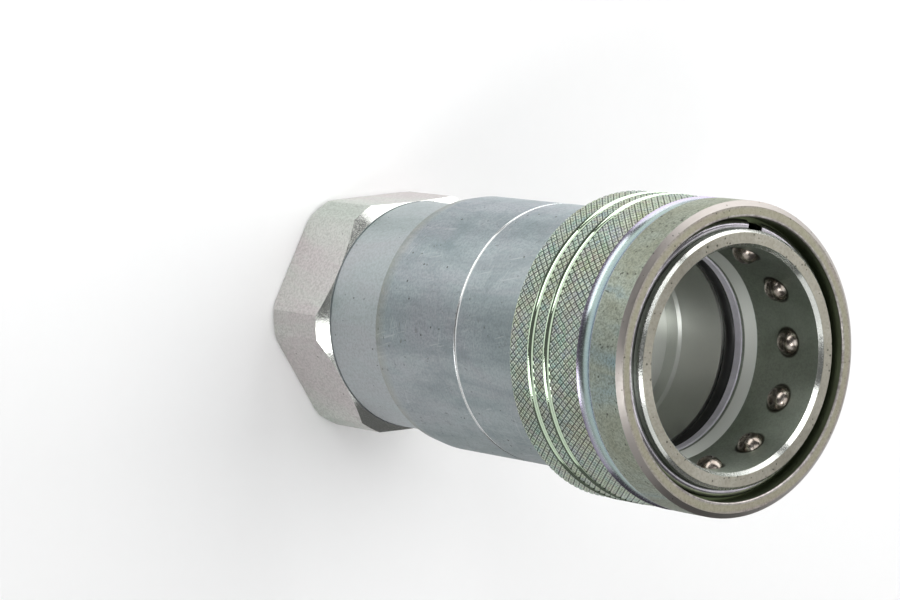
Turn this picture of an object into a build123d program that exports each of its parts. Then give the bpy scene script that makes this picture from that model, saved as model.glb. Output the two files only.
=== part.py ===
from build123d import *
import os
from math import cos, radians, sin, sqrt, tan

# Female half of a flat-port hydraulic quick coupling of size 25, with a poppet valve and a ball lock.
# It stands on its hexagon end. Z runs along the coupling's axis, the socket opens upwards, and the
# origin is the middle of the port face. Depths are measured down from the nose face, in millimetres.

os.makedirs("parts", exist_ok=True)

# Whole coupling
running_gap = 0.06
thread_gap = 0.05
seal_gap = 0.05

# Socket that takes the other half's probe
socket_d = 37.0
mouth_chamfer = 0.8
mouth_chamfer_w = 0.55
cone_depth = 15.6
cone_length = 2.1
probe_bore_step = 1.25
seal_land_step = 0.35
seal_land_l = 0.6
seal_groove_w = 4.9
seal_groove_cut = 2.95
probe_bore_l = 10.0
probe_stop_step = 0.5
floor_l = 3.3

# Nose, guide and outside of the body
nose_wall = 2.8
nose_bevel = 0.5
guide_start = 4.2
guide_step = 0.28
body_step = 0.92
body_step_depth = 27.0
marking_line_back = 22.7
marking_line_w = 0.7
marking_line_cut = 0.2
tail_taper_l = 3.3
tail_taper = 0.5

# Ball lock
ball_d = 4.762
ball_count = 12
ball_depth = 8.0
ball_hole_play = 0.08
ball_lip_d = 4.66
ball_seat_taper = 18.0
ball_lip_run_out = 1.2
ball_rest_gap = 0.07
ball_travel = 1.65
land_ball_gap = 0.2
mouth_ball_gap = 0.26

# Sleeve
sleeve_wall = 1.8
sleeve_overhang = 0.6
sleeve_bevel_l = 0.7
sleeve_bevel = 0.9
sleeve_travel = 7.3
mouth_edge = 0.15
sleeve_stop_depth = 3.55
cam_step = 0.79
cam_angle = 30.0
land_lead = 0.25
land_behind_ball = 4.2
spring_pocket_cut = 2.62
thumb_groove_depth = 7.15
thumb_groove_w = 3.1
thumb_groove_cut = 0.85
ring_groove_backs = (9.55, 5.55)
ring_groove_w = 1.1
ring_groove_cut = 0.5
rear_edge = 0.4

# Ring that stops the sleeve
stop_ring_wire = 2.2
stop_ring_seat = 0.45
stop_ring_ahead = 0.75
stop_ring_gap = 8.0
stop_ring_angle = 164.6

# Sleeve spring and its seat
seat_ring_t = 1.0
sleeve_spring_inset = 1.3
sleeve_spring_wire = 2.0
sleeve_solid_gap = 0.5

# Probe seal
probe_squeeze = 0.2
backup_t = 1.5
backup_play = 0.05

# Valve seat and chamber
seat_shelf = 3.55
seat_l = 3.0
seat_angle = 45.0
chamber_step = 6.3
chamber_l = 13.5
guide_bore_step = 0.5
body_thread_step = 0.4
body_thread_l = 6.8

# Poppet
poppet_tip_rise = 9.5
poppet_tip_d = 9.0
poppet_tip_crown = 1.5
poppet_neck_rise = 2.9
poppet_nose_gap = 0.5
poppet_head_reach = 2.4
poppet_rim = 2.2
poppet_stem_edge = 0.6
poppet_pilot_d = 16.4
poppet_pilot_l = 2.0
poppet_stem_d = 8.0
poppet_stem_out = 2.0
poppet_travel = 6.5
poppet_seat_gap = 0.1
poppet_seal_wire = 1.8
poppet_seal_reach = 1.5
poppet_seal_proud = 0.04

# Poppet guide and spring
guide_ring_t = 3.9
guide_ring_w = 3.6
hub_d = 15.0
hub_flange_d = 22.0
hub_dish = 4.5
hub_flange_t = 1.8
hub_l = 7.5
web_t = 2.6
arm_w = 5.0
arm_count = 3
poppet_spring_d = 18.4
poppet_spring_wire = 1.5
poppet_solid_gap = 0.8

# Adapter with the hexagon and the threaded port
adapter_bore_play = 0.1
adapter_cone_l = 3.0
waist_d = 28.0
waist_l = 4.85
neck_l = 15.5
neck_step = 0.1
hex_corner_reach = 2.0
hex_chamfer_angle = 35.0
hex_l = 14.7
hex_rear_edge = 0.6
root_groove_w = 0.4
root_groove_cut = 0.2
adapter_seal_land = 1.4
adapter_seal_groove_w = 2.4
adapter_seal_groove_cut = 1.9
adapter_seal_back = 1.2
port_d = 30.3
port_length = 18.0
port_mouth_l = 1.75

# Diameters, outwards from the socket
nose_d = socket_d + 2 * nose_wall
guide_d = nose_d + 2 * guide_step
body_d = guide_d + 2 * body_step
probe_bore_d = socket_d - 2 * probe_bore_step
seal_land_d = probe_bore_d + 2 * seal_land_step
seal_groove_d = probe_bore_d + 2 * seal_groove_cut
probe_stop_d = probe_bore_d - 2 * probe_stop_step
seat_bore_d = probe_stop_d - 2 * seat_shelf
chamber_d = seat_bore_d + 2 * chamber_step
guide_bore_d = chamber_d + 2 * guide_bore_step
body_thread_d = guide_bore_d + 2 * body_thread_step
guide_ring_inner_d = guide_bore_d - 2 * guide_ring_w
adapter_bore_d = guide_ring_inner_d + 2 * adapter_bore_play
hex_corners = body_d
hex_flats = hex_corners - 2 * hex_corner_reach
neck_d = hex_flats - 2 * neck_step
port_mouth_d = port_d + 2 * port_mouth_l

# Depths, backwards from the nose face
seal_groove_depth = cone_depth + cone_length + seal_land_l
seal_groove_end = seal_groove_depth + seal_groove_w
probe_stop_depth = seal_groove_end + probe_bore_l
socket_floor_depth = probe_stop_depth + floor_l
seat_depth = socket_floor_depth + seat_l
guide_seat_depth = seat_depth + chamber_l
ring_front = guide_seat_depth + thread_gap
ring_back = ring_front + guide_ring_t
spigot_front = ring_back + thread_gap
adapter_seal_depth = spigot_front + adapter_seal_land
body_thread_depth = adapter_seal_depth + adapter_seal_groove_w + adapter_seal_back
body_end_depth = body_thread_depth + body_thread_l
marking_line_depth = body_end_depth - marking_line_back
hex_depth = body_end_depth + neck_l
overall_length = hex_depth + hex_l
land_end_depth = ball_depth + land_behind_ball
sleeve_length = body_step_depth + sleeve_overhang
hub_front_depth = guide_seat_depth + hub_dish
hub_back_depth = hub_front_depth + hub_l


def height(depth):
    """Z of a place that lies this far below the nose face."""
    return overall_length - depth


def corners(*points):
    """Sketch corners of a turned profile, from pairs of radius and depth."""
    return [(radius, height(depth)) for radius, depth in points]


seat_slope = tan(radians(seat_angle))
ball_r = ball_d / 2
lip_r = ball_lip_d / 2
ball_rest_r = socket_d / 2 + sqrt(ball_r**2 - lip_r**2) + ball_rest_gap
land_d = 2 * (ball_rest_r + ball_r + land_ball_gap)
sleeve_mouth_d = 2 * (ball_rest_r + ball_travel + ball_r + mouth_ball_gap)
cam_step_d = sleeve_mouth_d - 2 * cam_step
spring_pocket_d = guide_d + 2 * spring_pocket_cut
sleeve_d = spring_pocket_d + 2 * sleeve_wall
stop_ring_depth = sleeve_stop_depth - stop_ring_ahead
stop_ring_mid_d = nose_d + 2 * stop_ring_seat
chamber_start = seat_depth + (chamber_d - seat_bore_d) / 2 / seat_slope

# Valve body
nose_r = nose_d / 2
with BuildPart() as valve_body:
    with BuildSketch(Plane.XZ):
        with BuildLine():
            Polyline(
                *corners(
                    (socket_d / 2 + mouth_chamfer_w, 0),
                    (nose_r - nose_bevel, 0),
                    (nose_r, nose_bevel),
                    (nose_r, guide_start),
                    (guide_d / 2, guide_start),
                    (guide_d / 2, body_step_depth),
                    (body_d / 2, body_step_depth),
                    (body_d / 2, body_end_depth - tail_taper_l),
                    (body_d / 2 - tail_taper, body_end_depth),
                    (body_thread_d / 2, body_end_depth),
                    (body_thread_d / 2, body_thread_depth),
                    (guide_bore_d / 2, body_thread_depth),
                    (guide_bore_d / 2, guide_seat_depth),
                    (chamber_d / 2, guide_seat_depth),
                    (chamber_d / 2, chamber_start),
                    (seat_bore_d / 2, seat_depth),
                    (seat_bore_d / 2, socket_floor_depth),
                    (probe_stop_d / 2, socket_floor_depth),
                    (probe_stop_d / 2, probe_stop_depth + (probe_bore_d - probe_stop_d) / 2),
                    (probe_bore_d / 2, probe_stop_depth),
                    (probe_bore_d / 2, seal_groove_end),
                    (seal_groove_d / 2, seal_groove_end),
                    (seal_groove_d / 2, seal_groove_depth),
                    (seal_land_d / 2, seal_groove_depth),
                    (seal_land_d / 2, cone_depth + cone_length),
                    (socket_d / 2, cone_depth),
                    (socket_d / 2, mouth_chamfer),
                ),
                close=True,
            )
        make_face()
    revolve(axis=Axis.Z)
    # Groove for the stop ring
    with BuildSketch(Plane.XZ):
        with Locations((stop_ring_mid_d / 2, height(stop_ring_depth))):
            Circle(stop_ring_wire / 2 + seal_gap)
    revolve(axis=Axis.Z, mode=Mode.SUBTRACT)
    # Turned round-bottomed line in front of the marking band
    line_r = (marking_line_w**2 / 4 + marking_line_cut**2) / (2 * marking_line_cut)
    with BuildSketch(Plane.XZ):
        with Locations((body_d / 2 - marking_line_cut + line_r, height(marking_line_depth))):
            Circle(line_r)
    revolve(axis=Axis.Z, mode=Mode.SUBTRACT)
    # Ball holes: straight from outside, with a tapered lip at the bore that keeps each ball in
    hole_r = ball_r + ball_hole_play
    taper_l = (hole_r - lip_r) / tan(radians(ball_seat_taper))
    hole_start = socket_d / 2 + taper_l
    with Locations((0, 0, height(ball_depth))):
        with PolarLocations(hole_start + body_d / 4, ball_count):
            Cylinder(hole_r, body_d / 2, rotation=(0, 90, 0), mode=Mode.SUBTRACT)
        with PolarLocations(hole_start - (taper_l + ball_lip_run_out) / 2, ball_count):
            Cone(
                lip_r - ball_lip_run_out * tan(radians(ball_seat_taper)),
                hole_r,
                taper_l + ball_lip_run_out,
                rotation=(0, 90, 0),
                mode=Mode.SUBTRACT,
            )
valve_body.part.label = "valve_body"
export_step(valve_body.part, "parts/valve_body.step")

# Locking balls, each in its own hole
for number in range(ball_count):
    turn = radians(number * 360 / ball_count)
    with BuildPart() as locking_ball:
        with Locations((ball_rest_r * cos(turn), ball_rest_r * sin(turn), height(ball_depth))):
            Sphere(ball_r)
    ball_name = f"locking_ball_{number + 1:02d}"
    locking_ball.part.label = ball_name
    export_step(locking_ball.part, f"parts/{ball_name}.step")

# Locking sleeve: its land holds the balls in, and the step and mouth in front of it let them out
cam_start = ball_depth - land_lead
cam_end = cam_start - (cam_step_d - land_d) / 2 / tan(radians(cam_angle))
thumb_r = (thumb_groove_w**2 / 4 + thumb_groove_cut**2) / (2 * thumb_groove_cut)
groove_r = (ring_groove_w**2 / 4 + ring_groove_cut**2) / (2 * ring_groove_cut)
with BuildPart() as locking_sleeve:
    with BuildSketch(Plane.XZ):
        with BuildLine():
            Polyline(
                *corners(
                    (sleeve_mouth_d / 2 + mouth_edge, 0),
                    (sleeve_d / 2 - sleeve_bevel, 0),
                    (sleeve_d / 2, sleeve_bevel_l),
                    (sleeve_d / 2, sleeve_length - rear_edge),
                    (sleeve_d / 2 - rear_edge, sleeve_length),
                    (spring_pocket_d / 2, sleeve_length),
                    (spring_pocket_d / 2, land_end_depth),
                    (land_d / 2, land_end_depth),
                    (land_d / 2, cam_start),
                    (cam_step_d / 2, cam_end),
                    (cam_step_d / 2, sleeve_stop_depth),
                    (sleeve_mouth_d / 2, sleeve_stop_depth),
                    (sleeve_mouth_d / 2, mouth_edge),
                ),
                close=True,
            )
        make_face()
    revolve(axis=Axis.Z)
    # Hollow for the thumb behind the plain band
    with BuildSketch(Plane.XZ):
        thumb_mid = height(thumb_groove_depth + thumb_groove_w / 2)
        with Locations((sleeve_d / 2 - thumb_groove_cut + thumb_r, thumb_mid)):
            Circle(thumb_r)
    revolve(axis=Axis.Z, mode=Mode.SUBTRACT)
    # Two polished rings that part the knurled bands
    for groove_back in ring_groove_backs:
        groove_mid = height(sleeve_length - groove_back)
        with BuildSketch(Plane.XZ):
            with Locations((sleeve_d / 2 - ring_groove_cut + groove_r, groove_mid)):
                Circle(groove_r)
        revolve(axis=Axis.Z, mode=Mode.SUBTRACT)
locking_sleeve.part.label = "locking_sleeve"
export_step(locking_sleeve.part, "parts/locking_sleeve.step")

# Wire ring in the nose that stops the sleeve, with its gap
with BuildPart() as stop_ring:
    with BuildSketch(Plane.XZ.rotated((0, 0, stop_ring_angle + stop_ring_gap / 2))):
        with Locations((stop_ring_mid_d / 2, height(stop_ring_depth))):
            Circle(stop_ring_wire / 2)
    revolve(axis=Axis.Z, revolution_arc=360 - stop_ring_gap)
stop_ring.part.label = "stop_ring"
export_step(stop_ring.part, "parts/stop_ring.step")

# Seat ring of the sleeve spring, which also guides the sleeve's back end
with BuildPart() as spring_seat_ring:
    with BuildSketch(Plane.XY.offset(height(body_step_depth))):
        Circle(spring_pocket_d / 2 - running_gap)
        Circle(guide_d / 2 + running_gap, mode=Mode.SUBTRACT)
    extrude(amount=seat_ring_t)
spring_seat_ring.part.label = "spring_seat_ring"
export_step(spring_seat_ring.part, "parts/spring_seat_ring.step")


def coil(low, high, turns, mean_d, wire_d):
    """A round wire wound between two heights, as a solid."""
    start = low + wire_d / 2 + seal_gap
    rise = high - low - wire_d - 2 * seal_gap
    with BuildPart() as wound:
        with BuildLine():
            path = Helix(rise / turns, rise, mean_d / 2, center=(0, 0, start))
        with BuildSketch(Plane(path @ 0, x_dir=(1, 0, 0), z_dir=path % 0)):
            Circle(wire_d / 2)
        sweep(is_frenet=True)
    return wound


# Each spring has as many turns as leave its solid gap between the wires at full travel
sleeve_spring_room = body_step_depth - seat_ring_t - land_end_depth
sleeve_spring_turns = (sleeve_spring_room - sleeve_travel - sleeve_solid_gap) / sleeve_spring_wire
sleeve_spring = coil(
    height(body_step_depth) + seat_ring_t,
    height(land_end_depth),
    sleeve_spring_turns,
    spring_pocket_d - 2 * sleeve_spring_inset,
    sleeve_spring_wire,
)
sleeve_spring.part.label = "sleeve_spring"
export_step(sleeve_spring.part, "parts/sleeve_spring.step")

# Seal on the probe, with its backup ring towards the mouth
probe_ring_r = probe_bore_d / 2 - probe_squeeze
probe_ring_wire = seal_groove_d / 2 - probe_ring_r - seal_gap
with BuildPart() as probe_seal:
    with BuildSketch(Plane.XZ):
        seal_mid = height(seal_groove_end - seal_gap - probe_ring_wire / 2)
        with Locations((probe_ring_r + probe_ring_wire / 2, seal_mid)):
            Circle(probe_ring_wire / 2)
    revolve(axis=Axis.Z)
probe_seal.part.label = "probe_seal"
export_step(probe_seal.part, "parts/probe_seal.step")

with BuildPart() as backup_ring:
    with BuildSketch(Plane.XY.offset(height(seal_groove_depth + seal_gap))):
        Circle(seal_groove_d / 2 - seal_gap)
        Circle(probe_bore_d / 2 + backup_play, mode=Mode.SUBTRACT)
    extrude(amount=-backup_t)
backup_ring.part.label = "backup_ring"
export_step(backup_ring.part, "parts/backup_ring.step")

# Poppet: dome tip and stem, flared nose, seat cone with a seal in it, spring pilot and guide stem
poppet_nose_r = seat_bore_d / 2 - poppet_nose_gap
poppet_head_r = seat_bore_d / 2 + poppet_head_reach
poppet_seal_r = seat_bore_d / 2 + poppet_seal_reach
cone_start = seat_depth + poppet_seat_gap - poppet_nose_gap / seat_slope
cone_end = cone_start + (poppet_head_r - poppet_nose_r) / seat_slope
head_back = cone_end + poppet_rim
stem_end = hub_back_depth + poppet_stem_out
seal_inset = poppet_seal_wire / 2 - poppet_seal_proud
seal_at_cone = cone_start + (poppet_seal_r - poppet_nose_r) / seat_slope
seal_centre = (
    poppet_seal_r - seal_inset * cos(radians(seat_angle)),
    height(seal_at_cone + seal_inset * sin(radians(seat_angle))),
)
with BuildPart() as poppet:
    with BuildSketch(Plane.XZ):
        with BuildLine():
            tip_r = poppet_tip_d / 2
            tip_top = height(seat_depth - poppet_tip_rise)
            neck = height(seat_depth - poppet_neck_rise)
            flare = height(cone_start)
            crown_r = (tip_r**2 + poppet_tip_crown**2) / (2 * poppet_tip_crown)
            RadiusArc((0, tip_top), (tip_r, tip_top - poppet_tip_crown), crown_r)
            Line((tip_r, tip_top - poppet_tip_crown), (tip_r, neck))
            TangentArc((tip_r, neck), (poppet_nose_r, flare), tangent=(0, -1))
            Polyline(
                (poppet_nose_r, flare),
                (poppet_head_r, height(cone_end)),
                (poppet_head_r, height(head_back)),
                (poppet_pilot_d / 2, height(head_back)),
                (poppet_pilot_d / 2, height(head_back + poppet_pilot_l)),
                (poppet_stem_d / 2, height(head_back + poppet_pilot_l)),
                (poppet_stem_d / 2, height(stem_end)),
                (0, height(stem_end)),
                (0, tip_top),
            )
        make_face()
    revolve(axis=Axis.Z)
    with BuildSketch(Plane.XZ):
        with Locations(seal_centre):
            Circle(poppet_seal_wire / 2 + seal_gap)
    revolve(axis=Axis.Z, mode=Mode.SUBTRACT)
    stem_rim = poppet.edges().filter_by(GeomType.CIRCLE).sort_by(Axis.Z)[0]
    chamfer(stem_rim, length=poppet_stem_edge)
poppet.part.label = "poppet"
export_step(poppet.part, "parts/poppet.step")

with BuildPart() as poppet_seal:
    with BuildSketch(Plane.XZ):
        with Locations(seal_centre):
            Circle(poppet_seal_wire / 2)
    revolve(axis=Axis.Z)
poppet_seal.part.label = "poppet_seal"
export_step(poppet_seal.part, "parts/poppet_seal.step")

# Poppet guide: a ring held between body and adapter, with arms dished back to the stem's hub
hub_r = hub_d / 2
flange_back = hub_front_depth + hub_flange_t
with BuildPart() as poppet_guide:
    with BuildSketch(Plane.XZ):
        with BuildLine():
            Polyline(
                *corners(
                    (guide_ring_inner_d / 2, ring_front),
                    (guide_bore_d / 2 - thread_gap, ring_front),
                    (guide_bore_d / 2 - thread_gap, ring_back),
                    (guide_ring_inner_d / 2, ring_back),
                    (hub_r, flange_back + web_t),
                    (hub_r, hub_back_depth),
                    (poppet_stem_d / 2 + running_gap, hub_back_depth),
                    (poppet_stem_d / 2 + running_gap, hub_front_depth),
                    (hub_flange_d / 2, hub_front_depth),
                    (guide_ring_inner_d / 2, ring_back - web_t),
                ),
                close=True,
            )
        make_face()
    revolve(axis=Axis.Z)
    # Windows between the arms
    with BuildSketch(Plane.XY.offset(height(hub_back_depth))):
        Circle(guide_ring_inner_d / 2)
        Circle(hub_flange_d / 2, mode=Mode.SUBTRACT)
        with PolarLocations(guide_ring_inner_d / 4, arm_count):
            Rectangle(guide_ring_inner_d / 2, arm_w, mode=Mode.SUBTRACT)
    extrude(amount=hub_back_depth - ring_front, mode=Mode.SUBTRACT)
poppet_guide.part.label = "poppet_guide"
export_step(poppet_guide.part, "parts/poppet_guide.step")

poppet_spring_room = hub_front_depth - head_back
poppet_spring_turns = (poppet_spring_room - poppet_travel - poppet_solid_gap) / poppet_spring_wire
poppet_spring = coil(
    height(hub_front_depth),
    height(head_back),
    poppet_spring_turns,
    poppet_spring_d,
    poppet_spring_wire,
)
poppet_spring.part.label = "poppet_spring"
export_step(poppet_spring.part, "parts/poppet_spring.step")

# Adapter: threaded spigot, neck, and the hexagon with the port
spigot_r = guide_bore_d / 2 - thread_gap
hex_face_r = hex_flats / 2
corner_depth = hex_depth + (hex_corners / 2 - hex_face_r) * tan(radians(hex_chamfer_angle))
port_start = overall_length - port_length
waist_end = port_start - (port_d - waist_d) / 2
with BuildPart() as port_adapter:
    # The hexagon is a hexagonal prism turned down to its corners and chamfered in front
    with BuildSketch(Plane.XY):
        RegularPolygon(hex_face_r, 6, major_radius=False, rotation=30)
    extrude(amount=height(hex_depth))
    with BuildSketch(Plane.XZ):
        with BuildLine():
            Polyline(
                *corners(
                    (0, overall_length),
                    (hex_corners / 2 - hex_rear_edge, overall_length),
                    (hex_corners / 2, overall_length - hex_rear_edge),
                    (hex_corners / 2, corner_depth),
                    (hex_face_r, hex_depth),
                    (0, hex_depth),
                ),
                close=True,
            )
        make_face()
    revolve(axis=Axis.Z, mode=Mode.INTERSECT)
    with BuildSketch(Plane.XZ):
        with BuildLine():
            Polyline(
                *corners(
                    (0, hex_depth),
                    (neck_d / 2, hex_depth),
                    (neck_d / 2, body_end_depth + thread_gap),
                    (body_thread_d / 2 - thread_gap, body_end_depth + thread_gap),
                    (body_thread_d / 2 - thread_gap, body_thread_depth + thread_gap),
                    (spigot_r, body_thread_depth + thread_gap),
                    (spigot_r, spigot_front),
                    (0, spigot_front),
                ),
                close=True,
            )
        make_face()
    revolve(axis=Axis.Z)
    # Through bore, waist and port
    with BuildSketch(Plane.XZ):
        with BuildLine():
            Polyline(
                *corners(
                    (0, spigot_front),
                    (adapter_bore_d / 2, spigot_front),
                    (adapter_bore_d / 2, waist_end - waist_l - adapter_cone_l),
                    (waist_d / 2, waist_end - waist_l),
                    (waist_d / 2, waist_end),
                    (port_d / 2, port_start),
                    (port_d / 2, overall_length - port_mouth_l),
                    (port_mouth_d / 2, overall_length),
                    (0, overall_length),
                ),
                close=True,
            )
        make_face()
    revolve(axis=Axis.Z, mode=Mode.SUBTRACT)
    # Groove for the adapter seal, and the turned groove at the root of the hexagon
    with BuildSketch(Plane.XZ):
        adapter_groove_mid = height(adapter_seal_depth + adapter_seal_groove_w / 2)
        with Locations((guide_bore_d / 2, adapter_groove_mid)):
            Rectangle(2 * adapter_seal_groove_cut, adapter_seal_groove_w)
        with Locations((neck_d / 2, height(hex_depth - root_groove_w / 2))):
            Rectangle(2 * root_groove_cut, root_groove_w)
    revolve(axis=Axis.Z, mode=Mode.SUBTRACT)
port_adapter.part.label = "port_adapter"
export_step(port_adapter.part, "parts/port_adapter.step")

adapter_seal_wire = adapter_seal_groove_cut - seal_gap
with BuildPart() as adapter_seal:
    with BuildSketch(Plane.XZ):
        adapter_seal_mid = (guide_bore_d - adapter_seal_groove_cut) / 2
        with Locations((adapter_seal_mid, adapter_groove_mid)):
            Circle(adapter_seal_wire / 2)
    revolve(axis=Axis.Z)
adapter_seal.part.label = "adapter_seal"
export_step(adapter_seal.part, "parts/adapter_seal.step")
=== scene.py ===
import math
from functools import cached_property

import bpy
import numpy as np
from bpy.props import FloatProperty, FloatVectorProperty, IntProperty, PointerProperty
from bpy.types import Operator, Panel, PropertyGroup
from mathutils import Matrix, Vector


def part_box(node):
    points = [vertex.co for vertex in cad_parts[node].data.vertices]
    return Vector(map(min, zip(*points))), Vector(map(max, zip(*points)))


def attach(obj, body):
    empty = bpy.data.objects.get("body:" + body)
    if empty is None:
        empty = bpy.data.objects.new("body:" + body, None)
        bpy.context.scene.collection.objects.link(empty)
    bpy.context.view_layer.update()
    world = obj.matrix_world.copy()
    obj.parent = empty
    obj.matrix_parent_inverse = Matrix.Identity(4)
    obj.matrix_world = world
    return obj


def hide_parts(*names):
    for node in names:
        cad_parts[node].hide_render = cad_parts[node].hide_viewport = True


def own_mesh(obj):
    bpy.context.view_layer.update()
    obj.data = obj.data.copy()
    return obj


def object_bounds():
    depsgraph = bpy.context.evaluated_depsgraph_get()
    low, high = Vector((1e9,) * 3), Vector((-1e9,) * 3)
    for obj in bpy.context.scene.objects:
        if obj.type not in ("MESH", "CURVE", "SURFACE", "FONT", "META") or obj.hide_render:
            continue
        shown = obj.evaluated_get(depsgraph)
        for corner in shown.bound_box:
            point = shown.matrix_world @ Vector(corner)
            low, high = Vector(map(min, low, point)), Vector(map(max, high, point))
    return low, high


bl_info = {
    "name": "Hydraulic poppet coupler",
    "version": (1, 0, 0),
    "blender": (4, 5, 0),
    "location": "3D View > Sidebar > Coupler",
    "description": "Dresses the socket half of a flat-port hydraulic coupling",
    "category": "Object",
}

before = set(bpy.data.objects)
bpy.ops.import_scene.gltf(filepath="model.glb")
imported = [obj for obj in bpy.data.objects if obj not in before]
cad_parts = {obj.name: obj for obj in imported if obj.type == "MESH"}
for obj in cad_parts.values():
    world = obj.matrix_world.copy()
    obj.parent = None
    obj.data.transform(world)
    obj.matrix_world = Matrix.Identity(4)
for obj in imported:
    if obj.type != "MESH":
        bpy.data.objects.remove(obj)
cad_low, cad_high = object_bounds()

TURN = 2 * math.pi
STEPS = 4  # mesh columns to one diamond of the knurl: valley, shoulder, ridge, shoulder
THUMB_STEPS = 13  # rows across the thumb hollow
RING_STEPS = 9  # rows across a polished ring
SOFT_SHINE = 0.25  # polish of the sleeve's front bevel, where the rings have 1
CLOSE = 0.00002  # places nearer than this are the same, in metres
FLOOR_REACH = 2.0  # from the middle of the floor to its edges, in metres
FLOOR_DROP = 0.0002  # the floor lies this far under the part, in metres

# Where the finish of the body changes: depths below the nose face and distances from the axis, in
# metres. A pair is a start and an end.
OUTER_RADII = (0.0200, 0.0202)  # the outside begins, as far out as this
OUTER_DEPTHS = (0.0265, 0.0267)  # and as deep as this
TAPER_DEPTHS = (0.0655, 0.0688)  # the tan of the back taper comes up
LINE_DEPTHS = (0.04575, 0.04645)  # turned line around the body
NOSE_DEPTH = 0.00004  # the nose face lies above this
NOSE_BEVEL = (0.00006, 0.0008)  # polished bevels beside the nose face
CONE_DEPTHS = (0.0156, 0.0177)  # cone behind the balls
BORE_DEPTH = 0.0231  # the deep bore is deeper than this
BORE_RADIUS = 0.0178  # and nearer to the axis than this
BODY_RADIUS = 0.0225  # outside of the body

# The same for the adapter and the sleeve. The height is above the port's face.
NECK_RADIUS = 0.02035  # the hexagon lies further out than this
FLATS_HEIGHT = 0.0147  # its flats end
RINGS_DEPTHS = (0.0168, 0.0169)  # the polished rings begin, behind the thumb hollow
MOUTH_DEPTH = 0.0003  # the wall inside the mouth is deeper than this
LIP_WIDTH = 0.0004  # worn lip around the mouth

# Dark brown rim around a ball hole: its inner and outer edge past the ball, and past the socket's
# wall.
RIM_START, RIM_END, RIM_REACH = 0.0001, 0.00045, 0.004

# Scales of the tool's rings along the feed and around the axis, and of the grain of plating.
PLATED_RINGS, STEEL_RINGS, PLASTIC_RINGS = 6500.0, 7000.0, 4000.0
RING_DRIFT = 18.0
GRAIN_SCALE = 2400.0

# Heights of the finishes' relief, in metres.
PLATED_RELIEF, STEEL_RELIEF, RUBBER_RELIEF, PLASTIC_RELIEF = 0.000008, 0.000006, 0.000012, 0.00001

# Light and dark colours of bare steel and of the floor.
TURNED_STEEL = (0.62, 0.61, 0.58), (0.45, 0.44, 0.42)
WIRE_STEEL = (0.50, 0.50, 0.52), (0.34, 0.34, 0.36)
RING_STEEL = (0.56, 0.54, 0.58), (0.42, 0.40, 0.44)
BALL_STEEL = (0.46, 0.42, 0.38), (0.26, 0.22, 0.19)
FLOOR_LIGHT, FLOOR_DARK = (0.97, 0.97, 0.97), (0.95, 0.95, 0.95)

# Colours of wear, and of painted reflections and highlights.
GRAIN = (0.12, 0.13, 0.11)
# The next two are painted reflections: light and dark streaks along the body's axis.
LIGHT_REFLECTION_STREAK = (0.46, 0.50, 0.50)
DARK_REFLECTION_STREAK = (0.20, 0.25, 0.26)
SMUDGE = (0.22, 0.27, 0.28)
BODY_SCUFF = (0.16, 0.17, 0.16)
HEX_SCUFF = (0.18, 0.19, 0.17)
SCRATCH = (0.66, 0.69, 0.70)
# A painted highlight that lightens the turned line all round.
TURNED_LINE_HIGHLIGHT = (0.66, 0.68, 0.68)
SPARKLE = (0.68, 0.74, 0.62)
# Painted highlight on the knurl's shoulders.
SHOULDER_HIGHLIGHT = (0.66, 0.70, 0.58)
BURR_DARK, BURR_LIGHT = (0.20, 0.18, 0.20), (0.66, 0.63, 0.64)

# Name, azimuth, height, distance, width, length and brightness of each lamp, as softbox takes them.
LAMPS = (
    ("overhead", 0, 88, 1.6, 1.2, 1.2, 1.6),
    ("back", 131, 25, 0.75, 1.25, 0.60, 2.75),
    ("side", 214, 20, 0.6, 0.58, 0.32, 3.4),
    ("fill", -42, 24, 0.8, 0.80, 0.60, 0.8),
    ("front", -66, 53, 1.0, 0.26, 0.30, 6.5),
    ("sky", 77, 53, 0.9, 0.40, 0.40, 0.9),
)

top = cad_high.z
sleeve_low, sleeve_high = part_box("locking_sleeve")
balls = [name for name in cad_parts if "ball" in name]
ball_count = len(balls)
ball_low, ball_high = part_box(balls[0])
ball_middle = (ball_low.z + ball_high.z) / 2
ball_radius = (ball_high.z - ball_low.z) / 2
socket_radius = 0.0185


def metres(name, description, default):
    """A length that the user can change."""
    return FloatProperty(name=name, description=description, default=default, unit="LENGTH")


def fraction(name, description, default):
    """A part of a whole that the user can change."""
    return FloatProperty(name=name, description=description, default=default, min=0, max=1)


def count(name, description, default, least):
    """A count that the user can change."""
    return IntProperty(name=name, description=description, default=default, min=least)


def tint(name, description, default):
    """A colour that the user can change."""
    return FloatVectorProperty(
        name=name, description=description, default=default, size=3, subtype="COLOR", min=0, max=1
    )


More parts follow.
